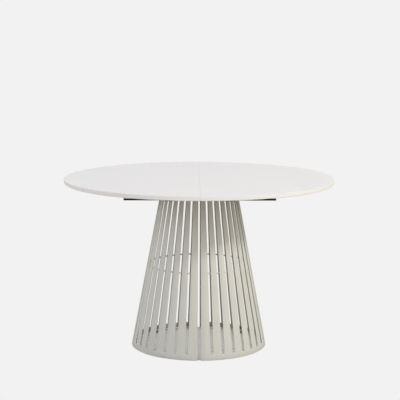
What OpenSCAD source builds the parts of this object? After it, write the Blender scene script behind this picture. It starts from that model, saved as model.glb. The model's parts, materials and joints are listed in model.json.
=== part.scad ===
// Round extendable dining table on a slatted steel cone.
// The top and the base are cut along one seam. Each half top is bolted to its half of the
// base, and the two halves roll apart along X on a pair of channel rails that carry a folded leaf.
// Millimetres, +Z up, +X along the extension, origin on the floor under the middle of the table.

/* [Table top] */
// Diameter of the round top
top_d = 1200; // [1100:10:1300]
// Height of the top surface above the floor
table_h = 758; // [740:1:780]
// Thickness of the top
top_t = 18; // [16:1:22]
// Radius on the upper edge of the top
top_edge_r = 2; // [1:0.5:3]
// Radius under the edge of the top
under_edge_r = 3; // [1:0.5:4]
// Gap between the two half tops when the table is closed
seam_gap = 0.3; // [0.2:0.1:1]

/* [Extension] */
// Travel of each half
travel = 200; // [100:10:200]
// Width of each panel of the leaf, along the seam
leaf_l = 600; // [560:10:600]

/* [Base] */
// Outer radius of the cone at floor level
cone_r_floor = 303; // [290:1:320]
// Inward lean of the cone for each millimetre of height
cone_lean = 0.189; // [0.17:0.001:0.2]
// Thickness of the sheet steel
sheet_t = 3; // [2:0.5:4]
// Number of slats in each half of the base
slats = 18; // [13:1:21]
// Angle taken from each end of a half, beside the seam
seam_angle = 0.8; // [0.5:0.01:1.2]
// Height of the closed rim at the foot of the cone
rim_top = 25; // [15:1:40]
// Width of a slot at its foot
slot_foot_w = 13.4; // [11:0.2:16]
// Width of a slot at its head
slot_head_w = 11.8; // [8:0.2:12]
// Width of the seam at the floor
seam_foot_w = 15; // [12:1:24]
// Width of the seam at the neck
seam_head_w = 10; // [8:0.5:14]
// Height of the middle of the hoop
hoop_z = 368; // [250:1:500]
// Diameter of the hoop's round bar
hoop_d = 6; // [4:0.5:8]

/* [Rails] */
// Distance from the middle of the table to the open side of a rail
rail_y = 333; // [333:1:345]
// Half the length of a rail with its end caps
rail_half_l = 321; // [320:1:330]
// Depth of a rail's channel across the table
rail_w = 25; // [24:1:28]
// Wall of a rail
rail_wall = 2.5; // [2:0.25:3]
// Radius of a roller
roller_r = 14.1; // [13:0.1:14.2]

/* [Hidden] */
$fn = 64;

// Small allowances
eps = 0.05;             // face to face, same body
fit = 0.05;             // a pin or screw in its hole, on the radius
cut = 1;                // how far a cutter passes a face

// Levels, from the top down
under_z = table_h - top_t;              // underside of the half tops
seam_pin_z = table_h - top_t / 2;       // middle of the top's thickness
rail_clear = 3;         // air between a rail and the half tops
rail_h = 33.5;
rail_top_z = under_z - rail_clear;
rail_foot_z = rail_top_z - rail_h;
axle_z = (rail_top_z + rail_foot_z) / 2;
leaf_t = top_t;
leaf_gap = 0.4;         // between the folded panels
leaf_clear = 2.6;       // air above the folded leaf
leaf_foot_z = under_z - leaf_clear - leaf_gap - 2 * leaf_t;
cradle_t = 4;
cradle_clear = 1;       // air under the cradle, as the arms pass
cradle_foot_z = leaf_foot_z - cradle_t;
arm_t = 10;
arm_foot_z = cradle_foot_z - cradle_clear - arm_t;
plate_t = 5;
plate_foot_z = arm_foot_z - plate_t;
shell_top_z = arm_foot_z;
neck_band = 6;          // whole sheet left above the slots
slot_top_z = shell_top_z - neck_band;
shell_foot_z = 1;

// Cone
lean_angle = atan(cone_lean);
wall_h = sheet_t / cos(lean_angle);     // sheet measured level, not square to itself
slat_pitch = (180 - 2 * seam_angle) / slats;

// Feet
tab_z = 8;
tab_t = 4;
tab_w = 26;
tab_in_r = 266;
glide_r = 13;
glide_at_r = 281;
glide_pad_h = 6;
glide_stem_r = 4;
glide_stem_top = 22;
glide_nut_r = 7;
glide_nut_h = 6;
foot_slats = [0, 4, slats - 5, slats - 1];      // slats with a foot behind them
foot_angles = concat([for (i = foot_slats) seam_angle + (i + 0.5) * slat_pitch], [90]);

// Arms and spacer blocks
arm_y = 90;
arm_w = 50;
arm_x0 = 8;
arm_x1 = 330;
arm_bolt_x = [50, 125];
arm_bolt_r = 4;
bolt_head_r = 7;
bolt_head_h = 3;
bolt_nut_h = 5;
block_l = 100;
block_w = 60;
block_x0 = leaf_half_w() + 25;
block_x1 = block_x0 + block_l;
block_screw_x = [block_x0 + block_l / 4, block_x1 - block_l / 4];
block_screw_r = 3;
block_screw_head_h = 2.5;
screw_bite = 12;                        // how far a screw goes into the top
bite_end = 0.5;                         // air past the end of a blind hole's screw or pin

// Runners, rollers and axles
runner_t = 18;
runner_h = 26;
runner_clear = 1;                       // air between a runner and its rail
runner_y = rail_y + runner_clear + runner_t / 2;    // middle of a runner's thickness
runner_x0 = 8;
runner_x1 = rail_half_l - 3;
runner_foot_z = under_z - runner_h;
runner_screw_x = [65, 170, 290];
runner_screw_r = 2.5;
runner_screw_head_h = 2.5;
runner_sink = 3;                        // depth of the recess for a screw's head
roller_x = [30, 100];                   // inner and outer roller, table closed
roller_w = 12;
roller_face_y = rail_y - 2;             // outer face of the roller's tread
hub_r = 5.5;
axle_r = 3;
axle_head_r = 6;
axle_head_h = 3;
axle_clip_r = 4.5;

// Rails
cap_t = 3;
bumper_t = 3.5;
rail_bar_l = rail_half_l - cap_t;

// Leaf and cradle
leaf_edge_r = 2;
cradle_x = 130;
cradle_w = 40;
cradle_end_h = 28;
cradle_in_y = rail_y - rail_w - cradle_t;
cradle_screw_r = 2;
cradle_head_r = 3.5;
cradle_head_h = 1.5;
hinge_x = 60;
hinge_l = 50;
hinge_leaf_t = 1.5;
hinge_knuckle_r = 2.4;

// Seam dowels and latches
dowel_y = [-500, -170, 170, 500];
dowel_r = 4;
dowel_out = 12;
dowel_in = 15;
latch_y = [-440, 440];
latch_pivot_x = -20;
latch_reach = 45;                       // from the pivot to the keeper's pin
latch_pin_r = 4;
lever_z = under_z - 10;
lever_t = 4;
lever_w = 16;
lever_hub_r = 12;
latch_flange_r = 12;
latch_flange_t = 3;
latch_shoulder_r = 7;
latch_play = 0.3;                       // above and below the lever

function leaf_half_w() = travel - seam_gap / 2;
function outer_r(z) = cone_r_floor - cone_lean * z;
function inner_r(z) = outer_r(z) - wall_h;
function arc(cx, cy, r, a0, a1, n = 6) =
    [for (i = [0:n]) let (a = a0 + (a1 - a0) * i / n) [cx + r * cos(a), cy + r * sin(a)]];

// Colours
module lacquer() color([0.91, 0.90, 0.89]) children();
module sage() color([0.78, 0.78, 0.73]) children();
module black_steel() color([0.13, 0.13, 0.13]) children();
module bright_steel() color([0.66, 0.67, 0.68]) children();
module black_plastic() color([0.07, 0.07, 0.07]) children();
module white_nylon() color([0.87, 0.87, 0.84]) children();
module beech() color([0.80, 0.66, 0.48]) children();

// Everything in a half is drawn for the right half, +X, and mirrored for the left half
module on_side(side) {
    if (side > 0) children();
    else mirror([1, 0, 0]) children();
}

// Things that repeat at the front, -Y, and the rear, +Y, are drawn at the rear and mirrored
module on_row(row) {
    if (row > 0) children();
    else mirror([0, 1, 0]) children();
}

module at_feet() {
    for (a = foot_angles) rotate([0, 0, a - 90]) children();
}

// ---- Half top ----

module top_profile() {
    r = top_d / 2;
    u = under_edge_r;
    e = top_edge_r;
    polygon(concat(
        [[0, 0]],
        arc(r - u, u, u, -90, 0),
        arc(r - e, top_t - e, e, 0, 90),
        [[0, top_t]]));
}

module top_blank(side) {
    arris = 0.5;
    difference() {
        translate([0, 0, under_z]) rotate_extrude($fn = 128) top_profile();
        mirror([side > 0 ? 0 : 1, 0, 0]) {
            translate([seam_gap / 2 - top_d, -top_d, under_z - cut])
                cube([top_d, 2 * top_d, top_t + 2 * cut]);
            translate([seam_gap / 2, 0, table_h]) rotate([0, 45, 0])
                cube([arris, top_d, arris], center = true);
        }
    }
}

// Blind holes in the underside for the screws that hold the half top
module top_holes() {
    for (x = block_screw_x, y = [-arm_y, arm_y])
        translate([x, y, under_z - cut])
            cylinder(r = block_screw_r + fit, h = screw_bite + cut + bite_end);
    for (x = runner_screw_x, y = [-runner_y, runner_y])
        translate([x, y, under_z - cut])
            cylinder(r = runner_screw_r + fit, h = screw_bite + cut + bite_end);
}

module dowel_holes(x0, x1, r) {
    for (y = dowel_y) translate([x0, y, seam_pin_z]) rotate([0, 90, 0]) cylinder(r = r, h = x1 - x0);
}

module top_half(side) {
    lacquer() difference() {
        top_blank(side);
        on_side(side) top_holes();
        if (side > 0) dowel_holes(-cut, dowel_in + bite_end, dowel_r + fit);
        else dowel_holes(-dowel_out - 2, cut, dowel_r + 2 * fit);
    }
}

// Bullet-nosed pins in the right half, which enter holes in the left half
module seam_dowels() {
    nose = 2.5;
    beech() for (y = dowel_y) translate([dowel_in, y, seam_pin_z]) rotate([0, -90, 0])
        rotate_extrude() polygon([
            [0, 0], [dowel_r, 0], [dowel_r, dowel_in + dowel_out - nose],
            [dowel_r - nose, dowel_in + dowel_out], [0, dowel_in + dowel_out]]);
}

// ---- Half base ----

// A flat cutter that stands square to the cone at the angle a, narrower towards its head
module slot_cutter(a, z0, z1, w0, w1) {
    rotate([0, 0, a - 90]) rotate([90, 0, 90])
        linear_extrude(height = cone_r_floor + cut)
            polygon([[-w0 / 2, z0], [w0 / 2, z0], [w1 / 2, z1], [-w1 / 2, z1]]);
}

module cone_sheet() {
    rotate_extrude($fn = 128) polygon([
        [inner_r(shell_foot_z), shell_foot_z], [outer_r(shell_foot_z), shell_foot_z],
        [outer_r(shell_top_z), shell_top_z], [inner_r(shell_top_z), shell_top_z]]);
}

// One half of the cone: a single rolled sheet with its slots cut out
module base_shell(side) {
    sage() on_side(side) difference() {
        cone_sheet();
        translate([-2 * cone_r_floor, -cone_r_floor - cut, 0])
            cube([2 * cone_r_floor, 2 * (cone_r_floor + cut), table_h]);
        for (i = [1:slats - 1])
            slot_cutter(seam_angle + i * slat_pitch, rim_top, slot_top_z, slot_foot_w, slot_head_w);
        for (a = [0, 180]) slot_cutter(a, 0, shell_top_z + cut, seam_foot_w, seam_head_w);
    }
}

// Round bar welded inside the slats, stopping short of the seam
module hoop(side) {
    inset = 3;
    bar_r = hoop_d / 2;
    centre_r = inner_r(hoop_z) - bar_r / cos(lean_angle) - eps;
    sage() on_side(side) translate([0, 0, hoop_z]) rotate([0, 0, inset - 90])
        rotate_extrude(angle = 180 - 2 * inset, $fn = 128)
            translate([centre_r, 0]) circle(bar_r, $fn = 24);
}

// Half disc that closes the neck and carries the arms
module neck_plate(side) {
    plate_r = inner_r(shell_top_z) - eps;
    x0 = seam_head_w / 2 + 1;
    sage() on_side(side) difference() {
        translate([0, 0, plate_foot_z]) cylinder(r = plate_r, h = plate_t - eps);
        translate([x0 - 2 * plate_r, -plate_r - cut, plate_foot_z - cut])
            cube([2 * plate_r, 2 * (plate_r + cut), plate_t + 2 * cut]);
        for (x = arm_bolt_x, y = [-arm_y, arm_y])
            translate([x, y, plate_foot_z - cut]) cylinder(r = arm_bolt_r + fit, h = plate_t + 2 * cut);
    }
}

// Steel flat that reaches from the neck plate out under the half top
module arm(side, row) {
    black_steel() on_side(side) on_row(row) difference() {
        translate([arm_x0, arm_y - arm_w / 2, arm_foot_z]) cube([arm_x1 - arm_x0, arm_w, arm_t - eps]);
        for (x = arm_bolt_x) {
            translate([x, arm_y, arm_foot_z - cut]) cylinder(r = arm_bolt_r + fit, h = arm_t + 2 * cut);
            translate([x, arm_y, arm_foot_z + arm_t - bolt_head_h - eps])
                cylinder(r = bolt_head_r + 2 * fit, h = bolt_head_h + cut);
        }
        for (x = block_screw_x)
            translate([x, arm_y, arm_foot_z - cut])
                cylinder(r = block_screw_r + fit, h = arm_t + 2 * cut);
    }
}

module spacer_block(side, row) {
    foot = arm_foot_z + arm_t;
    beech() on_side(side) on_row(row) difference() {
        translate([block_x0, arm_y - block_w / 2, foot])
            cube([block_x1 - block_x0, block_w, under_z - foot - eps]);
        for (x = block_screw_x)
            translate([x, arm_y, foot - cut])
                cylinder(r = block_screw_r + fit, h = under_z - foot + 2 * cut);
    }
}

module arm_bolts(side) {
    shank_foot = plate_foot_z - bolt_nut_h - 1;
    bright_steel() on_side(side) for (x = arm_bolt_x, y = [-arm_y, arm_y]) translate([x, y, 0]) {
        translate([0, 0, shank_foot])
            cylinder(r = arm_bolt_r, h = arm_foot_z + arm_t - 0.2 - shank_foot);
        translate([0, 0, arm_foot_z + arm_t - bolt_head_h])
            cylinder(r = bolt_head_r, h = bolt_head_h - 0.2);
        translate([0, 0, plate_foot_z - bolt_nut_h - eps])
            cylinder(r = bolt_head_r, h = bolt_nut_h, $fn = 6);
    }
}

module block_screws(side) {
    head_h = block_screw_head_h;
    bright_steel() on_side(side) for (x = block_screw_x, y = [-arm_y, arm_y]) translate([x, y, 0]) {
        translate([0, 0, arm_foot_z - head_h - eps]) cylinder(r = 2 * block_screw_r, h = head_h);
        translate([0, 0, arm_foot_z - head_h]) cylinder(
            r = block_screw_r, h = under_z + screw_bite - arm_foot_z + head_h);
    }
}

// ---- Feet ----

module foot_tabs(side) {
    sage() on_side(side) at_feet() difference() {
        translate([tab_in_r, -tab_w / 2, tab_z])
            cube([cone_r_floor - tab_in_r, tab_w, tab_t]);
        translate([0, 0, tab_z - cut]) difference() {
            cylinder(r = 2 * cone_r_floor, h = tab_t + 2 * cut);
            translate([0, 0, -cut]) cylinder(r = inner_r(tab_z + tab_t) - eps, h = tab_t + 4 * cut);
        }
        translate([glide_at_r, 0, tab_z - cut]) cylinder(r = glide_stem_r + fit, h = tab_t + 2 * cut);
    }
}

// Plastic pad with a threaded stem
module glides(side) {
    black_plastic() on_side(side) at_feet() translate([glide_at_r, 0, 0])
        rotate_extrude() polygon([
            [0, 0], [glide_r - 1, 0], [glide_r, 1], [glide_r, glide_pad_h - 2],
            [glide_r - 4, glide_pad_h], [glide_stem_r, glide_pad_h],
            [glide_stem_r, glide_stem_top], [0, glide_stem_top]]);
}

module glide_nuts(side) {
    nut_z = tab_z + tab_t + eps;
    bright_steel() on_side(side) at_feet() translate([glide_at_r, 0, nut_z]) difference() {
        cylinder(r = glide_nut_r, h = glide_nut_h, $fn = 6);
        translate([0, 0, -cut]) cylinder(r = glide_stem_r + fit, h = glide_nut_h + 2 * cut);
    }
}

// ---- Runners and rollers ----

// Batten under the half top that carries two rollers
module runner(side, row) {
    lacquer() on_side(side) on_row(row) difference() {
        translate([runner_x0, runner_y - runner_t / 2, runner_foot_z])
            cube([runner_x1 - runner_x0, runner_t, under_z - runner_foot_z - eps]);
        for (x = roller_x) translate([x, runner_y, axle_z]) rotate([90, 0, 0])
            cylinder(r = axle_r + fit, h = runner_t + 2 * cut, center = true);
        for (x = runner_screw_x) translate([x, runner_y, runner_foot_z]) {
            translate([0, 0, -cut]) cylinder(r = runner_screw_r + fit, h = runner_h + 2 * cut);
            translate([0, 0, -cut]) cylinder(r = 2 * runner_screw_r + fit, h = runner_sink + cut);
        }
    }
}

module runner_screws(side) {
    head_z = runner_foot_z + 0.4;
    bright_steel() on_side(side) for (x = runner_screw_x, y = [-runner_y, runner_y])
        translate([x, y, head_z]) {
            cylinder(r = 2 * runner_screw_r, h = runner_screw_head_h);
            cylinder(r = runner_screw_r, h = under_z + screw_bite - head_z);
        }
}

// Nylon wheel with a short hub that keeps it off the runner
module roller(side, row, x) {
    hub_y = runner_y - runner_t / 2 - 0.3;
    white_nylon() on_side(side) on_row(row) translate([x, 0, axle_z]) rotate([-90, 0, 0]) difference() {
        union() {
            translate([0, 0, roller_face_y - roller_w]) rotate_extrude() polygon([
                [0, 0], [roller_r - 1, 0], [roller_r, 1],
                [roller_r, roller_w - 1], [roller_r - 1, roller_w], [0, roller_w]]);
            translate([0, 0, roller_face_y - cut]) cylinder(r = hub_r, h = hub_y - roller_face_y + cut);
        }
        cylinder(r = axle_r + fit, h = rail_y + 2 * runner_t);
    }
}

// Shoulder bolts: head outside the runner, stem through the runner and the roller
module roller_axles(side) {
    stem_y = roller_face_y - roller_w - 1.5;
    face_y = runner_y + runner_t / 2 + eps;
    bright_steel() on_side(side) for (x = roller_x, row = [-1, 1]) on_row(row)
        translate([x, 0, axle_z]) rotate([-90, 0, 0]) {
            translate([0, 0, stem_y]) cylinder(r = axle_r, h = face_y - stem_y + cut);
            translate([0, 0, face_y]) cylinder(r = axle_head_r, h = axle_head_h);
            translate([0, 0, stem_y - 0.7]) cylinder(r = axle_clip_r, h = 1);
        }
}

// ---- Rails and leaf ----

// Channel rail, open outwards, with its web towards the leaf
module guide_rail(row) {
    black_steel() on_row(row) translate([0, rail_y, rail_foot_z]) difference() {
        translate([-rail_bar_l, -rail_w, 0]) cube([2 * rail_bar_l, rail_w, rail_top_z - rail_foot_z]);
        translate([-rail_bar_l - cut, rail_wall - rail_w, rail_wall])
            cube([2 * (rail_bar_l + cut), rail_w, rail_top_z - rail_foot_z - 2 * rail_wall]);
    }
}

module rail_end_caps() {
    h = rail_top_z - rail_foot_z;
    black_plastic() for (side = [-1, 1], row = [-1, 1]) on_side(side) on_row(row)
        translate([rail_bar_l + eps, rail_y - rail_w, rail_foot_z]) cube([cap_t - eps, rail_w, h]);
}

// Rubber blocks inside the rail ends, which stop the outer rollers
module rail_bumpers() {
    gap = 0.3;
    h = rail_top_z - rail_foot_z - 2 * rail_wall - 2 * gap;
    black_plastic() for (side = [-1, 1], row = [-1, 1]) on_side(side) on_row(row)
        translate([
            rail_bar_l - bumper_t, rail_y - rail_w + rail_wall + gap, rail_foot_z + rail_wall + gap])
            cube([bumper_t, rail_w - rail_wall - 4, h]);
}

// Flat strip bent up at both ends; joins the two rails and carries the leaf
module leaf_cradle(side) {
    black_steel() on_side(side) difference() {
        translate([cradle_x - cradle_w / 2, 0, cradle_foot_z]) {
            translate([0, -cradle_in_y - cradle_t, 0])
                cube([cradle_w, 2 * (cradle_in_y + cradle_t), cradle_t - eps]);
            for (row = [-1, 1]) on_row(row)
                translate([0, cradle_in_y, 0]) cube([cradle_w, cradle_t - eps, cradle_end_h]);
        }
        for (row = [-1, 1]) on_row(row) cradle_screw_at()
            cylinder(r = cradle_screw_r + fit, h = 4 * cradle_t, center = true);
    }
}

module cradle_screw_at() {
    for (dx = [-10, 10]) translate([cradle_x + dx, cradle_in_y, cradle_foot_z + cradle_end_h - 8])
        rotate([-90, 0, 0]) children();
}

module cradle_screws() {
    bright_steel() for (side = [-1, 1], row = [-1, 1]) on_side(side) on_row(row) cradle_screw_at() {
        translate([0, 0, -cradle_head_h]) cylinder(r = cradle_head_r, h = cradle_head_h - eps);
        translate([0, 0, -cradle_head_h / 2])
            cylinder(r = cradle_screw_r, h = cradle_t + cradle_head_h / 2 - eps);
    }
}

// One panel of the leaf, rounded only along its free end
module leaf_panel(z) {
    e = leaf_edge_r;
    l = leaf_l / 2;
    lacquer() translate([leaf_half_w(), 0, z]) rotate([90, 0, -90])
        linear_extrude(height = 2 * leaf_half_w())
            polygon(concat(
                [[-l, 0]],
                arc(l - e, e, e, -90, 0),
                arc(l - e, leaf_t - e, e, 0, 90),
                [[-l, leaf_t]]));
}

// Butt hinges across the folded ends of the panels
module leaf_hinges() {
    mid_z = leaf_foot_z + leaf_t + leaf_gap / 2;
    y = leaf_l / 2 + eps;
    bright_steel() for (x = [-hinge_x, hinge_x]) translate([x, 0, mid_z]) {
        for (up = [0, 1]) mirror([0, 0, up])
            translate([-hinge_l / 2, y, 0.4]) cube([hinge_l, hinge_leaf_t, leaf_t - 3]);
        translate([-hinge_l / 2, y + 2.5, 0]) rotate([0, 90, 0])
            cylinder(r = hinge_knuckle_r, h = hinge_l);
    }
}

// ---- Latches ----

module latch_flange() {
    translate([0, 0, under_z - latch_flange_t - eps]) cylinder(r = latch_flange_r, h = latch_flange_t);
}

// Fixed to the left half: a shouldered pin that the lever turns on
module latch_pivots() {
    bright_steel() for (y = latch_y) translate([latch_pivot_x, y, 0]) {
        latch_flange();
        translate([0, 0, lever_z - latch_flange_t])
            cylinder(r = latch_pin_r, h = under_z - lever_z + latch_flange_t - cut);
        translate([0, 0, lever_z + lever_t + latch_play])
            cylinder(r = latch_shoulder_r, h = under_z - latch_flange_t - lever_z - lever_t);
        translate([0, 0, lever_z - latch_flange_t])
            cylinder(r = latch_shoulder_r, h = latch_flange_t - latch_play);
    }
}

// Fixed to the right half: a pin that the lever hooks
module latch_keepers() {
    bright_steel() for (y = latch_y) translate([latch_pivot_x + latch_reach, y, 0]) {
        latch_flange();
        translate([0, 0, lever_z - 2]) cylinder(r = latch_pin_r, h = under_z - lever_z);
    }
}

// The slot is an arc about the pivot, open on the side that leads as the lever closes
module latch_lever(y) {
    arm_l = latch_reach + 15;
    grip_l = 34;
    slot_w = 2 * latch_pin_r + 1;
    black_steel() translate([latch_pivot_x, y, lever_z]) rotate([0, 0, -90]) difference() {
        union() {
            cylinder(r = lever_hub_r, h = lever_t);
            translate([0, -lever_w / 2, 0]) cube([arm_l, lever_w, lever_t]);
            translate([-grip_l, -lever_w / 2, 0]) cube([grip_l, lever_w, lever_t]);
            translate([-grip_l, 0, 0]) cylinder(r = lever_w / 2, h = lever_t);
        }
        translate([0, 0, -cut]) cylinder(r = latch_pin_r + fit, h = lever_t + 2 * cut);
        translate([latch_reach, 0, -cut]) cylinder(d = slot_w, h = lever_t + 2 * cut);
        translate([0, 0, -cut]) rotate_extrude(angle = 20)
            translate([latch_reach - slot_w / 2, 0]) square([slot_w, lever_t + 2 * cut]);
    }
}

top_half(-1);  // top_left
top_half(1);  // top_right
base_shell(-1);  // base_shell_left
base_shell(1);  // base_shell_right
hoop(-1);  // hoop_left
hoop(1);  // hoop_right
neck_plate(-1);  // neck_plate_left
neck_plate(1);  // neck_plate_right
arm(-1, -1);  // arm_left_front
arm(-1, 1);  // arm_left_rear
arm(1, -1);  // arm_right_front
arm(1, 1);  // arm_right_rear
spacer_block(-1, -1);  // spacer_block_left_front
spacer_block(-1, 1);  // spacer_block_left_rear
spacer_block(1, -1);  // spacer_block_right_front
spacer_block(1, 1);  // spacer_block_right_rear
runner(-1, -1);  // runner_left_front
runner(-1, 1);  // runner_left_rear
runner(1, -1);  // runner_right_front
runner(1, 1);  // runner_right_rear
roller(-1, -1, roller_x[0]);  // roller_left_front_inner
roller(-1, -1, roller_x[1]);  // roller_left_front_outer
roller(-1, 1, roller_x[0]);  // roller_left_rear_inner
roller(-1, 1, roller_x[1]);  // roller_left_rear_outer
roller(1, -1, roller_x[0]);  // roller_right_front_inner
roller(1, -1, roller_x[1]);  // roller_right_front_outer
roller(1, 1, roller_x[0]);  // roller_right_rear_inner
roller(1, 1, roller_x[1]);  // roller_right_rear_outer
roller_axles(-1);  // roller_axles_left
roller_axles(1);  // roller_axles_right
foot_tabs(-1);  // foot_tabs_left
foot_tabs(1);  // foot_tabs_right
glides(-1);  // glides_left
glides(1);  // glides_right
glide_nuts(-1);  // glide_nuts_left
glide_nuts(1);  // glide_nuts_right
arm_bolts(-1);  // arm_bolts_left
arm_bolts(1);  // arm_bolts_right
block_screws(-1);  // block_screws_left
block_screws(1);  // block_screws_right
runner_screws(-1);  // runner_screws_left
runner_screws(1);  // runner_screws_right
seam_dowels();
latch_pivots();
latch_keepers();
latch_lever(latch_y[0]);  // latch_lever_front
latch_lever(latch_y[1]);  // latch_lever_rear
guide_rail(-1);  // guide_rail_front
guide_rail(1);  // guide_rail_rear
rail_end_caps();
rail_bumpers();
leaf_cradle(-1);  // leaf_cradle_left
leaf_cradle(1);  // leaf_cradle_right
cradle_screws();
leaf_panel(leaf_foot_z);  // leaf_panel_lower
leaf_panel(leaf_foot_z + leaf_t + leaf_gap);  // leaf_panel_upper
leaf_hinges();
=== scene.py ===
"""Looks for the extendable round table: camera, studio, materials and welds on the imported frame."""

import json
import math

import bmesh
import bpy
from mathutils import Euler, Matrix, Vector


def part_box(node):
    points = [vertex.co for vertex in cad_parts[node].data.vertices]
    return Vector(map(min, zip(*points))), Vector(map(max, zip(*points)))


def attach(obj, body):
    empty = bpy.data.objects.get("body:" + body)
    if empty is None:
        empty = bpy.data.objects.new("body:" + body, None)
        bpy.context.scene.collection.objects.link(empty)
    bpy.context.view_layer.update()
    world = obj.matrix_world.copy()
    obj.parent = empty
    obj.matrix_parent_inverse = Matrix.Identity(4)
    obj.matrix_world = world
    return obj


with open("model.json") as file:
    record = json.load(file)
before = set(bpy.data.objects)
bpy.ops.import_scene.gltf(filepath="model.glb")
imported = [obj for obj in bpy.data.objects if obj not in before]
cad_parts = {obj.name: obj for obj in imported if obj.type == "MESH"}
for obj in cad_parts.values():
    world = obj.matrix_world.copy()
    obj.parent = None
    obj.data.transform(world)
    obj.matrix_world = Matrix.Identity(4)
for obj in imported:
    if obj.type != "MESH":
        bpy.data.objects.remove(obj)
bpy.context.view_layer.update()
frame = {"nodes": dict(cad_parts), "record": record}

# ---- Camera: an 18 degree lens, a little above the table and looking slightly down ----

LENS_ANGLE = math.radians(18.0)
CAMERA_DISTANCE = 5.587
CAMERA_HEIGHT = 1.482
CAMERA_PITCH = math.radians(8.405)
CAMERA_YAW = math.radians(-0.62)
CAMERA_ROLL = math.radians(0.2)
CAMERA_ASIDE = 0.004


def add_camera():
    data = bpy.data.cameras.new("camera")
    data.sensor_width = 36.0
    data.lens = 18.0 / math.tan(LENS_ANGLE / 2)
    data.clip_end = 200.0
    camera = bpy.data.objects.new("camera", data)
    bpy.context.scene.collection.objects.link(camera)
    camera.location = (
        CAMERA_ASIDE * math.cos(CAMERA_YAW) + CAMERA_DISTANCE * math.sin(CAMERA_YAW),
        CAMERA_ASIDE * math.sin(CAMERA_YAW) - CAMERA_DISTANCE * math.cos(CAMERA_YAW),
        CAMERA_HEIGHT,
    )
    turn = Euler((math.pi / 2 - CAMERA_PITCH, 0, CAMERA_YAW)).to_matrix()
    camera.rotation_euler = (turn @ Matrix.Rotation(CAMERA_ROLL, 3, "Z")).to_euler()
    bpy.context.scene.camera = camera


# ---- Node helpers ----


class Nodes:
    """A short way to write a material's node tree."""

    def __init__(self, tree):
        self.tree = tree
        tree.nodes.clear()

    def add(self, kind, settings=None, **sockets):
        node = self.tree.nodes.new(kind)
        for name, value in (settings or {}).items():
            setattr(node, name, value)
        for name, value in sockets.items():
            self.set(node.inputs[name.replace("_", " ")], value)
        return node

    def set(self, socket, value):
        if isinstance(value, bpy.types.NodeSocket):
            self.tree.links.new(value, socket)
        else:
            socket.default_value = value

    def place(self, stretch=(1, 1, 1)):
        """Object coordinates in metres, stretched."""
        where = self.add("ShaderNodeTexCoord").outputs["Object"]
        if stretch == (1, 1, 1):
            return where
        mapping = self.add("ShaderNodeMapping", Vector=where)
        mapping.inputs["Scale"].default_value = stretch
        return mapping.outputs["Vector"]

    def noise(self, scale, detail=3.0, roughness=0.5, stretch=(1, 1, 1)):
        node = self.add("ShaderNodeTexNoise", Vector=self.place(stretch), Scale=scale, Detail=detail)
        node.inputs["Roughness"].default_value = roughness
        return node.outputs["Fac"]

    def spread(self, value, low, high, start=0.3, stop=0.7):
        """value from start to stop, mapped to low to high."""
        node = self.add("ShaderNodeMapRange", Value=value)
        node.inputs["From Min"].default_value = start
        node.inputs["From Max"].default_value = stop
        node.inputs["To Min"].default_value = low
        node.inputs["To Max"].default_value = high
        return node.outputs["Result"]

    def blend(self, factor, first, second):
        node = self.add("ShaderNodeMix", {"data_type": "RGBA"})
        self.set(node.inputs["Factor"], factor)
        self.set(node.inputs[6], first)
        self.set(node.inputs[7], second)
        return node.outputs[2]

    def math(self, operation, first, second):
        node = self.add("ShaderNodeMath", {"operation": operation})
        self.set(node.inputs[0], first)
        self.set(node.inputs[1], second)
        return node.outputs[0]

    def bump(self, height, distance, strength=1.0, under=None):
        node = self.add("ShaderNodeBump", Height=height, Distance=distance, Strength=strength)
        if under is not None:
            self.set(node.inputs["Normal"], under)
        return node.outputs["Normal"]

    def finish(self, colour, roughness, normal, metallic=0.0, specular=0.5, coat=0.0):
        shader = self.add("ShaderNodeBsdfPrincipled")
        self.set(shader.inputs["Base Color"], colour)
        self.set(shader.inputs["Roughness"], roughness)
        self.set(shader.inputs["Normal"], normal)
        shader.inputs["Metallic"].default_value = metallic
        shader.inputs["Specular IOR Level"].default_value = specular
        shader.inputs["Coat Weight"].default_value = coat
        output = self.add("ShaderNodeOutputMaterial")
        self.tree.links.new(shader.outputs[0], output.inputs["Surface"])


def new_material(name):
    material = bpy.data.materials.new(name)
    material.use_nodes = True
    return material, Nodes(material.node_tree)


def tint(colour, factor):
    return tuple(c * factor for c in colour[:3]) + (1.0,)


# ---- Materials ----

DUST = (0.56, 0.54, 0.49, 1.0)
DUST_REACH = 0.09


def lacquer(name, colour, peel=0.00002):
    """Sprayed matt lacquer: faint orange peel and the slightest cloudiness."""
    material, n = new_material(name)
    cloud = n.noise(3.0, 4.0)
    shade = n.blend(n.spread(cloud, 0, 1), tint(colour, 0.985), tint(colour, 1.015))
    rough = n.spread(n.noise(60.0, 5.0), 0.40, 0.50)
    skin = n.bump(n.noise(420.0, 3.0), peel)
    n.finish(shade, rough, skin, specular=0.4)
    return material


def powder_coat(name, colour, grain=0.00006, rough=(0.50, 0.62), foot_dust=0.0):
    """Powder coat: a fine pebbled skin, a little uneven in tone, with dust low down."""
    material, n = new_material(name)
    cloud = n.noise(7.0, 5.0)
    fleck = n.noise(1800.0, 2.0)
    shade = n.blend(n.spread(cloud, 0, 1), tint(colour, 0.97), tint(colour, 1.03))
    shade = n.blend(n.spread(fleck, 0, 0.35), shade, tint(colour, 0.90))
    if foot_dust:
        height = n.add("ShaderNodeSeparateXYZ", Vector=n.place()).outputs["Z"]
        low = n.spread(height, foot_dust, 0.0, 0.0, DUST_REACH)
        dust = n.math("MULTIPLY", low, n.spread(n.noise(28.0, 6.0), 0.2, 1.0))
        shade = n.blend(dust, shade, DUST)
    pebble = n.bump(n.noise(900.0, 3.0), grain)
    n.finish(shade, n.spread(n.noise(40.0, 4.0), *rough), pebble, specular=0.45)
    return material


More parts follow.
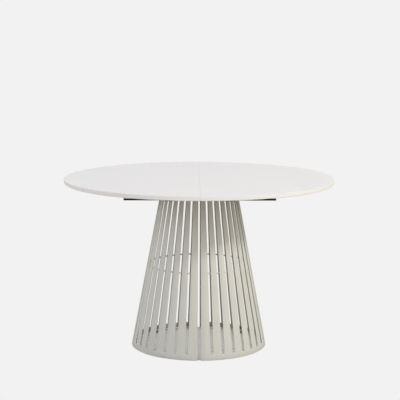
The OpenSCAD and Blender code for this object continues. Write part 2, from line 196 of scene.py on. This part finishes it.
def plated_steel(name, colour):
    """Zinc-plated steel: fine brushing along the part and a patchy shine."""
    material, n = new_material(name)
    patch = n.noise(90.0, 4.0)
    shade = n.blend(n.spread(patch, 0, 1), tint(colour, 0.85), tint(colour, 1.1))
    brush = n.noise(2600.0, 2.0, stretch=(1, 1, 0.06))
    n.finish(shade, n.spread(brush, 0.24, 0.42), n.bump(brush, 0.00002), metallic=1.0)
    return material


def beech(name):
    """Planed beech: straight grain along X, with short dark flecks."""
    material, n = new_material(name)
    pale, dark = (0.66, 0.47, 0.29, 1.0), (0.50, 0.32, 0.17, 1.0)
    rings = n.noise(55.0, 4.0, stretch=(0.08, 1, 1))
    pores = n.noise(900.0, 2.0, stretch=(0.05, 1, 1))
    shade = n.blend(n.spread(rings, 0, 1), pale, dark)
    shade = n.blend(n.spread(pores, 0, 0.7, 0.56, 0.7), shade, tint(dark, 0.6))
    n.finish(shade, n.spread(rings, 0.5, 0.65), n.bump(pores, 0.00004), specular=0.35)
    return material


def plastic(name, colour, rough=(0.35, 0.5), grain=0.00005):
    """Moulded plastic: an etched grain and slight polish marks."""
    material, n = new_material(name)
    shade = n.blend(n.spread(n.noise(30.0, 4.0), 0, 1), tint(colour, 0.9), tint(colour, 1.1))
    etched = n.bump(n.noise(1400.0, 2.0), grain)
    n.finish(shade, n.spread(n.noise(120.0, 4.0), *rough), etched)
    return material


TOP_WHITE = (0.745, 0.724, 0.702)
SAGE = (0.555, 0.552, 0.495)
BLACK = (0.022, 0.021, 0.020)


def make_materials():
    return {
        "top_lacquer": lacquer("top_lacquer", TOP_WHITE),
        "sage_coat": powder_coat("sage_coat", SAGE, foot_dust=0.25),
        "black_coat": powder_coat("black_coat", BLACK, rough=(0.42, 0.55)),
        "zinc_steel": plated_steel("zinc_steel", (0.60, 0.60, 0.61)),
        "beech": beech("beech"),
        "runner_lacquer": lacquer("runner_lacquer", (0.74, 0.73, 0.70), 0.00003),
        "nylon": plastic("nylon", (0.76, 0.76, 0.72), (0.3, 0.42), 0.00001),
        "black_plastic": plastic("black_plastic", (0.020, 0.020, 0.020)),
        "rubber": plastic("rubber", (0.025, 0.025, 0.025), (0.65, 0.8), 0.00008),
    }


def dress_nodes(materials):
    """Gives every CAD node the material of its slot in the record."""
    for part in frame["record"]["subparts"]:
        mesh = frame["nodes"][part["node"]].data
        mesh.materials.clear()
        mesh.materials.append(materials[part["material_slot"]])


# ---- Base shells: sheared edges ----

EDGE_BREAK = 0.0007
SAME_POINT = 0.00002
SHARP = math.radians(40)


def soften_slats(node):
    """Rounds the sheared edges of a base shell over, so that they catch a thin line of light."""
    weld = frame["nodes"][node].modifiers.new("weld", "WELD")
    weld.merge_threshold = SAME_POINT
    bevel = frame["nodes"][node].modifiers.new("bevel", "BEVEL")
    bevel.width = EDGE_BREAK
    bevel.segments = 2
    bevel.limit_method = "ANGLE"
    bevel.angle_limit = SHARP


# ---- Welds: a short bead above and below the hoop on every slat ----

SLATS = 18
SEAM_ANGLE = math.radians(0.8)
BEAD_LENGTH, BEAD_WIDTH = 0.009, 0.0022
BEAD_RISE = 0.42


def weld_beads(side, node, body, material):
    """Beads of weld between one hoop and its slats; side is 1 on the right and -1 on the left."""
    low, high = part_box(node)
    reach = max(abs(low[0]), abs(high[0])) - BEAD_WIDTH / 2
    bar = high[2] - low[2]
    middle = (low[2] + high[2]) / 2
    pitch = (math.pi - 2 * SEAM_ANGLE) / SLATS
    mesh_work = bmesh.new()
    for slat in range(SLATS):
        angle = SEAM_ANGLE + (slat + 0.5) * pitch - math.pi / 2
        turn = Matrix.Rotation(angle if side > 0 else math.pi - angle, 4, "Z")
        for level in (-1, 1):
            place = Matrix.Translation((reach, 0, middle + level * BEAD_RISE * bar))
            shape = Matrix.Diagonal((BEAD_WIDTH / 2, BEAD_LENGTH / 2, BEAD_WIDTH / 2, 1.0))
            bead = turn @ place @ shape
            bmesh.ops.create_icosphere(mesh_work, subdivisions=2, radius=1.0, matrix=bead)
    mesh = bpy.data.meshes.new(f"weld_beads_{body}")
    mesh_work.to_mesh(mesh)
    mesh_work.free()
    mesh.materials.append(material)
    mesh.shade_smooth()
    beads = bpy.data.objects.new(f"weld_beads_{body}", mesh)
    bpy.context.scene.collection.objects.link(beads)
    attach(beads, body)


# ---- Studio ----

BACKDROP = 0.887
BACKDROP_COLOUR = (BACKDROP, BACKDROP, BACKDROP, 1.0)
FLOOR_BOUNCE = (0.55, 0.50, 0.41, 1.0)
PAPER_SEEN = (0.96, 0.96, 0.95, 1.0)
PAPER_BOUNCE = (0.40, 0.39, 0.36, 1.0)
FLOOR_SIZE = 120.0
SHELTER_REACH = 1.6
SHELTERED, OPEN = 0.17, 0.34
KEY_AZIMUTH, KEY_ELEVATION = 52.5, 33.6
KEY_DISTANCE, KEY_AIM_HEIGHT = 8.0, 0.45
KEY_POWER = 300.0
KEY_SIZE = (0.16, 0.95)
KEY_COLOUR = (1.0, 0.985, 0.955)
LEFT_SKY = (1.08, 1.12, 1.26, 1.0)
RIGHT_SKY = (0.82, 0.815, 0.80, 1.0)
RIGHT_SKY_STARTS = 0.3
HORIZON_TO_MIDDLE = (1.05, 1.70)
MIDDLE_STARTS = 0.25
ZENITH_SHARE = 0.25
ZENITH_FADE = (0.42, 0.64)


def add_floor():
    """A pale floor without shadows in the open, shaded only where the table shelters it."""
    half = FLOOR_SIZE / 2
    corners = [(-half, -half, 0), (half, -half, 0), (half, half, 0), (-half, half, 0)]
    mesh = bpy.data.meshes.new("floor")
    mesh.from_pydata(corners, [], [(0, 1, 2, 3)])
    floor = bpy.data.objects.new("floor", mesh)
    bpy.context.scene.collection.objects.link(floor)
    material, n = new_material("floor")
    sky_seen = n.add("ShaderNodeAmbientOcclusion", {"samples": 12}, Distance=SHELTER_REACH)
    in_the_open = n.spread(sky_seen.outputs["AO"], 0, 1, SHELTERED, OPEN)
    seen = n.add("ShaderNodeLightPath").outputs["Is Camera Ray"]
    paper = n.add("ShaderNodeBsdfDiffuse", Color=n.blend(seen, PAPER_BOUNCE, PAPER_SEEN))
    bounce = n.blend(sky_seen.outputs["AO"], (0.0, 0.0, 0.0, 1.0), FLOOR_BOUNCE)
    glow = n.add("ShaderNodeEmission", Color=n.blend(seen, bounce, BACKDROP_COLOUR))
    mix = n.add("ShaderNodeMixShader")
    n.set(mix.inputs[0], in_the_open)
    n.set(mix.inputs[1], paper.outputs[0])
    n.set(mix.inputs[2], glow.outputs[0])
    n.set(n.add("ShaderNodeOutputMaterial").inputs["Surface"], mix.outputs[0])
    mesh.materials.append(material)


def add_key():
    """A tall narrow softbox, placed by its degrees right of the front and its degrees up."""
    data = bpy.data.lights.new("key", "AREA")
    data.shape = "RECTANGLE"
    data.size, data.size_y = KEY_SIZE
    data.energy = KEY_POWER
    data.color = KEY_COLOUR
    light = bpy.data.objects.new("key", data)
    bpy.context.scene.collection.objects.link(light)
    a, e = math.radians(KEY_AZIMUTH), math.radians(KEY_ELEVATION)
    towards = Vector((math.sin(a) * math.cos(e), -math.cos(a) * math.cos(e), math.sin(e)))
    light.location = KEY_DISTANCE * towards + Vector((0, 0, KEY_AIM_HEIGHT))
    light.rotation_euler = towards.to_track_quat("Z", "Y").to_euler()


def add_world():
    """A flat backdrop to look at, and a soft dome to light with: cooler and brighter on the left."""
    world = bpy.data.worlds.new("studio")
    world.use_nodes = True
    n = Nodes(world.node_tree)
    towards = n.add("ShaderNodeTexCoord").outputs["Generated"]
    axes = n.add("ShaderNodeSeparateXYZ", Vector=towards).outputs
    tone = n.blend(n.spread(axes["X"], 0, 1, -1, RIGHT_SKY_STARTS), LEFT_SKY, RIGHT_SKY)
    above_horizon = n.spread(axes["Z"], *HORIZON_TO_MIDDLE, 0.0, MIDDLE_STARTS)
    below_zenith = n.spread(axes["Z"], 1.0, ZENITH_SHARE, *ZENITH_FADE)
    strength = n.math("MULTIPLY", above_horizon, below_zenith)
    seen = n.add("ShaderNodeLightPath").outputs["Is Camera Ray"]
    dome = n.add("ShaderNodeBackground", Color=tone, Strength=strength)
    backdrop = n.add("ShaderNodeBackground", Color=BACKDROP_COLOUR)
    mix = n.add("ShaderNodeMixShader")
    n.set(mix.inputs[0], seen)
    n.set(mix.inputs[1], dome.outputs[0])
    n.set(mix.inputs[2], backdrop.outputs[0])
    n.set(n.add("ShaderNodeOutputWorld").inputs["Surface"], mix.outputs[0])
    bpy.context.scene.world = world


add_camera()
add_world()
add_floor()
add_key()
materials = make_materials()
dress_nodes(materials)
soften_slats("base_shell_left")
soften_slats("base_shell_right")
weld_beads(1, "hoop_right", "right_half", materials["sage_coat"])
weld_beads(-1, "hoop_left", "left_half", materials["sage_coat"])
bpy.context.scene.view_settings.view_transform = "Standard"
